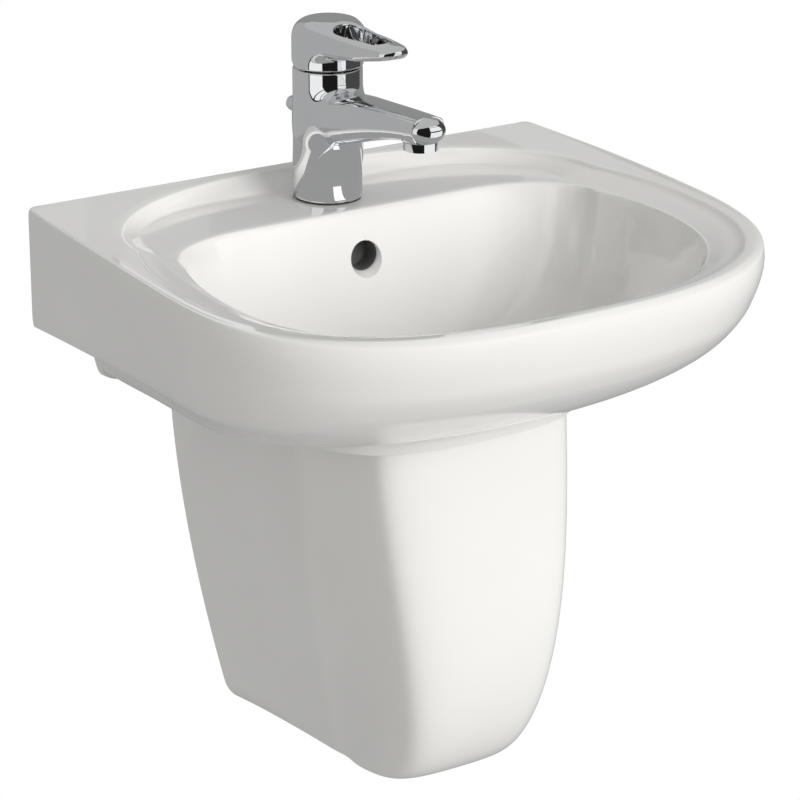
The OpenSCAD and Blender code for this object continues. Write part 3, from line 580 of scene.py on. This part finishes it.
def body_field(x, y, z):
    rear = 0.5 - 0.5 * np.cos(np.arctan2(x, -y))
    flare = 2.4 * rear * np.clip((62 - z) / 62, 0, 1)**2
    broad = cylinder_field(x, y, BODY_R + flare)
    spout = spout_field(x, y, z)
    crease = eased(y, CREASE_Y, CREASE_Z)
    skin_shape = blend_max(blend_min(broad, spout, 9.0), (crease - z) * 0.6, 1.0)
    core_shape = blend_min(cylinder_field(x, y, CORE_R), spout + 0.9, 9.0)
    d = np.minimum(skin_shape, core_shape)
    outlet = np.maximum(cylinder_field(x, y + OUTLET_Y, 13.1), np.maximum(70 - z, z - 80))
    d = blend_min(d, outlet, 1.0)
    d = blend_max(d, z - BODY_TOP, 1.6)
    d = np.maximum(d, 1.5 - z)
    # Chamber of the cartridge, outlet recess, inlets, stud and the groove of the lift rod
    holes = [np.maximum(cylinder_field(x, y, 17.6), 61 - z),
             np.maximum(cylinder_field(x, y, 21.1), 88 - z),
             np.maximum(cylinder_field(x, y + OUTLET_Y, 12.65), z - 70),
             np.maximum(cylinder_field(x, y + OUTLET_Y, 11.1), z - 78),
             np.maximum(cylinder_field(x, y + 11, 4.1), z - 13)]
    for inlet_x in (-9.5, 9.5):
        holes.append(np.maximum(cylinder_field(x - inlet_x, y - 2, 5.1), z - 12))
    groove_side = np.abs(x) - 3.3
    low = np.maximum(np.maximum(groove_side, 10.5 - y), z - 42)
    high = np.maximum(np.maximum(groove_side, 19.5 - y), np.maximum(41 - z, z - 63.5))
    holes.append(blend_min(low, high, 0.5))
    for hole in holes:
        d = blend_max(d, -hole, 0.8)
    return d


# Lever: its top and its underside at distances from the axis
LEVER_Y = [-30, 0, 30, 60, 85, 96, 110]
LEVER_TOP = [130, 132, 133, 132.6, 131.6, 130.6, 129.5]
LEVER_LOW = [110, 111, 112.5, 115.5, 120, 122.5, 125]
HOOD_R, HOOD_TOP, HOOD_LOW, SCREW_Z = 26, 133.4, 99.4, 119


def tapered(x, y, ya, ra, yb, rb):
    """Distance to the plan of a bar between two circles of different radius."""
    length = abs(yb - ya)
    px, py = np.abs(x), ya - y
    k = (ra - rb) / length
    a = math.sqrt(1 - k * k)
    along = k * -px + a * py
    return np.where(along < 0, np.sqrt(px**2 + py**2) - ra,
                    np.where(along > a * length, np.sqrt(px**2 + (py - length)**2) - rb,
                             px * a + py * k - ra))


def lever_field(x, y, z):
    r = np.sqrt(x * x + y * y)
    hood = blend_max(r - HOOD_R, z - HOOD_TOP, 15.0)
    hood = blend_max(hood, HOOD_LOW - z, 0.8)
    t = -y
    top, low = (eased(t, LEVER_Y, v) for v in (LEVER_TOP, LEVER_LOW))
    plan = np.minimum(tapered(x, y, -6, 20.5, -58, 17.3), tapered(x, y, -58, 17.3, -83.5, 12.5))
    crown = np.clip((t - 5) / 40, 0, 1) * 5.0 + 1.0
    slab = blend_max(z - top + (x / 17)**2 * crown, low - z - (x / 17)**2 * 1.0, 2.0)
    paddle = blend_max(plan, slab, 6.0)
    d = blend_min(hood, paddle, 6.0)
    loop = tapered(x, y, -33, 12.8, -72, 8.8)
    loop = blend_max(loop, 115 - np.clip(t - 29, 0, None) * 5 - z, 2.0)
    d = blend_max(d, -loop, 2.4)
    # Hollow hood round its boss, square socket of the stem, screw hole and its counterbore
    boss = np.maximum(r - 8, 112 - z)
    screw = np.sqrt(x * x + (z - SCREW_Z)**2)
    holes = [np.maximum(np.maximum(r - 22.5, z - 119), -boss),
             np.maximum(np.maximum(np.abs(x), np.abs(y)) - 4.05, z - 122.5),
             np.maximum(screw - 2.6, -y),
             np.maximum(screw - 4.0, 24 - y)]
    for hole in holes:
        d = np.maximum(d, -hole)
    # Room for the back of the skirt when the lever is lifted
    under = (z - 98.9 - 0.33 * y) * 0.95
    return np.maximum(d, -np.maximum(under, 0.5 - y))


# ---- Build the pieces --------------------------------------------------------
def hand_over(piece, node, body="root"):
    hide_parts(node)
    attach(piece, body)


hand_over(build_basin(), "basin")
hand_over(build_shell(), "semi_pedestal")
hand_over(field_mesh("mixer_casting", (-30, -152, 0), (30, 30, 100), body_field),
          "mixer_body")
hand_over(field_mesh("lever_handle", (-29, -108, 99), (29, 29, 140), lever_field),
          "lever", "lever")

SLOTS = {s["node"]: s["material_slot"] for s in frame["record"]["subparts"]}
# The brass ring is painted near black as painted shade: only a dark line of shade shows where it is
SLOTS["cartridge_nut"] = "shade_painted_brass"
for name, node in frame["nodes"].items():
    mat = MATERIALS[SLOTS[name]]
    for s in node.material_slots:
        s.material = mat
    if not node.material_slots:
        node.data.materials.append(mat)

# ---- Studio -------------------------------------------------------------------
scene = bpy.context.scene
scene.view_settings.view_transform = "Standard"
scene.view_settings.look = "None"
TAP_AXIS = (0, -TAP_Y * MM)
FLOOR_Z = -0.755


def world_light():
    """White to the camera, a grey ramp in reflections, and an even warm grey as light."""
    w = bpy.data.worlds.new("studio")
    w.use_nodes = True
    scene.world = w
    t = w.node_tree
    t.nodes.clear()
    out = t.nodes.new("ShaderNodeOutputWorld")
    path = t.nodes.new("ShaderNodeLightPath")

    def sky(colour):
        b = t.nodes.new("ShaderNodeBackground")
        b.inputs["Color"].default_value = (*colour, 1)
        return b

    def mix(fac, a, b):
        m = t.nodes.new("ShaderNodeMixShader")
        t.links.new(fac, m.inputs[0])
        t.links.new(a, m.inputs[1])
        t.links.new(b, m.inputs[2])
        return m.outputs[0]

    coords = t.nodes.new("ShaderNodeTexCoord")
    split = t.nodes.new("ShaderNodeSeparateXYZ")
    t.links.new(coords.outputs["Generated"], split.inputs[0])
    half = t.nodes.new("ShaderNodeMapRange")
    half.inputs["From Min"].default_value = -1
    t.links.new(split.outputs["Z"], half.inputs["Value"])
    mirror = sky((1, 1, 1))
    ramp = colour_ramp(t, half.outputs["Result"], 0.48, (0.36,) * 3, 0.66, (0.52,) * 3)
    t.links.new(ramp, mirror.inputs["Color"])
    ambient = sky((0.535, 0.532, 0.52))
    lit = mix(path.outputs["Is Glossy Ray"], ambient.outputs[0], mirror.outputs[0])
    seen = mix(path.outputs["Is Camera Ray"], lit, sky((1, 1, 1)).outputs[0])
    t.links.new(seen, out.inputs["Surface"])


def glow(name, value, one_sided=False):
    """A glowing grey, which a one-sided sheet shows on its front only."""
    m = bpy.data.materials.new(name)
    m.use_nodes = True
    t = m.node_tree
    t.nodes.clear()
    e = t.nodes.new("ShaderNodeEmission")
    e.inputs["Color"].default_value = (value, value, value, 1)
    out = t.nodes.new("ShaderNodeOutputMaterial")
    surface = e.outputs[0]
    if one_sided:
        geo = t.nodes.new("ShaderNodeNewGeometry")
        clear = t.nodes.new("ShaderNodeBsdfTransparent")
        mix = t.nodes.new("ShaderNodeMixShader")
        t.links.new(geo.outputs["Backfacing"], mix.inputs[0])
        t.links.new(e.outputs[0], mix.inputs[1])
        t.links.new(clear.outputs[0], mix.inputs[2])
        surface = mix.outputs[0]
    t.links.new(surface, out.inputs["Surface"])
    return m


def band(name, az0, az1, steps, edges, mat):
    """A strip round the mixer's axis between two (radius, height) edges, seen only in reflections.

    Azimuth 0 is -Y and turns towards +X."""
    verts, faces = [], []
    for i in range(steps + 1):
        a = math.radians(az0 + (az1 - az0) * i / steps)
        verts += [(TAP_AXIS[0] + r * math.sin(a), TAP_AXIS[1] - r * math.cos(a), z) for r, z in edges]
    for i in range(steps):
        faces.append((2 * i, 2 * i + 2, 2 * i + 3, 2 * i + 1))
    o = make_object(name, verts, faces, mat)
    o.visible_camera = o.visible_diffuse = o.visible_shadow = o.visible_transmission = False


def card(name, az0, az1, radius, z0, z1, value):
    """A curved upright card."""
    band(name, az0, az1, 12, [(radius, z0), (radius, z1)], glow(name, value))


def deck_card(name, az0, az1, r0, r1, z, value):
    """A flat sheet over the deck that only shows to what is above it."""
    band(name, az0, az1, 48, [(r1, z), (r0, z)], glow(name, value, one_sided=True))


def aim(o, direction):
    o.rotation_euler = Vector(direction).to_track_quat("-Z", "Y").to_euler()


world_light()
sun = bpy.data.lights.new("key", "SUN")
sun.energy, sun.angle, sun.color = 2.0, math.radians(32), (1.0, 0.995, 0.985)
key = bpy.data.objects.new("key", sun)
key.visible_glossy = False
aim(key, (-0.30, 0.88, -0.30))
scene.collection.objects.link(key)

# Cards round the mixer: grey to the left, then black, white, black, white and dark
GREY, WHITE, BLACK, DARK = 0.44, 1.0, 0.012, 0.07
card("card_grey", 180, 268, 0.175, 0.060, 0.330, GREY)
card("card_edge", 268, 271.5, 0.174, 0.120, 0.260, BLACK)
card("card_white_left", 271.5, 312, 0.174, 0.120, 0.260, WHITE)
card("card_black", 312, 356, 0.174, 0.120, 0.260, BLACK)
card("card_white_mid", 356, 384, 0.174, 0.120, 0.260, WHITE)
card("card_dark_right", 384, 450, 0.174, 0.120, 0.260, DARK)
card("card_grey_right", 450, 540, 0.175, 0.060, 0.330, 0.30)
card("bar_high", 268, 384, 0.172, 0.222, 0.230, BLACK)
card("bar_low", 268, 384, 0.172, 0.168, 0.176, BLACK)
deck_card("card_deck", -180, 180, 0.0285, 0.300, 0.0836, 0.36)
deck_card("window_low", -19, 3, 0.029, 0.066, 0.0842, 1.3)

floor = make_object("floor", [(-6, -6, FLOOR_Z), (6, -6, FLOOR_Z), (6, 6, FLOOR_Z), (-6, 6, FLOOR_Z)],
                    [(0, 1, 2, 3)], glow("floor_paper", 1.0, one_sided=True))
floor.visible_glossy = floor.visible_diffuse = False

cam_data = bpy.data.cameras.new("camera")
cam_data.lens = 148.5
cam_data.sensor_width = 36
cam_data.clip_end = 50
cam = bpy.data.objects.new("camera", cam_data)
cam.location = (-1.2285, -2.0278, 0.7599)
aim(cam, Vector((-0.0193, -0.180, -0.0351)) - Vector(cam.location))
scene.collection.objects.link(cam)
scene.camera = cam
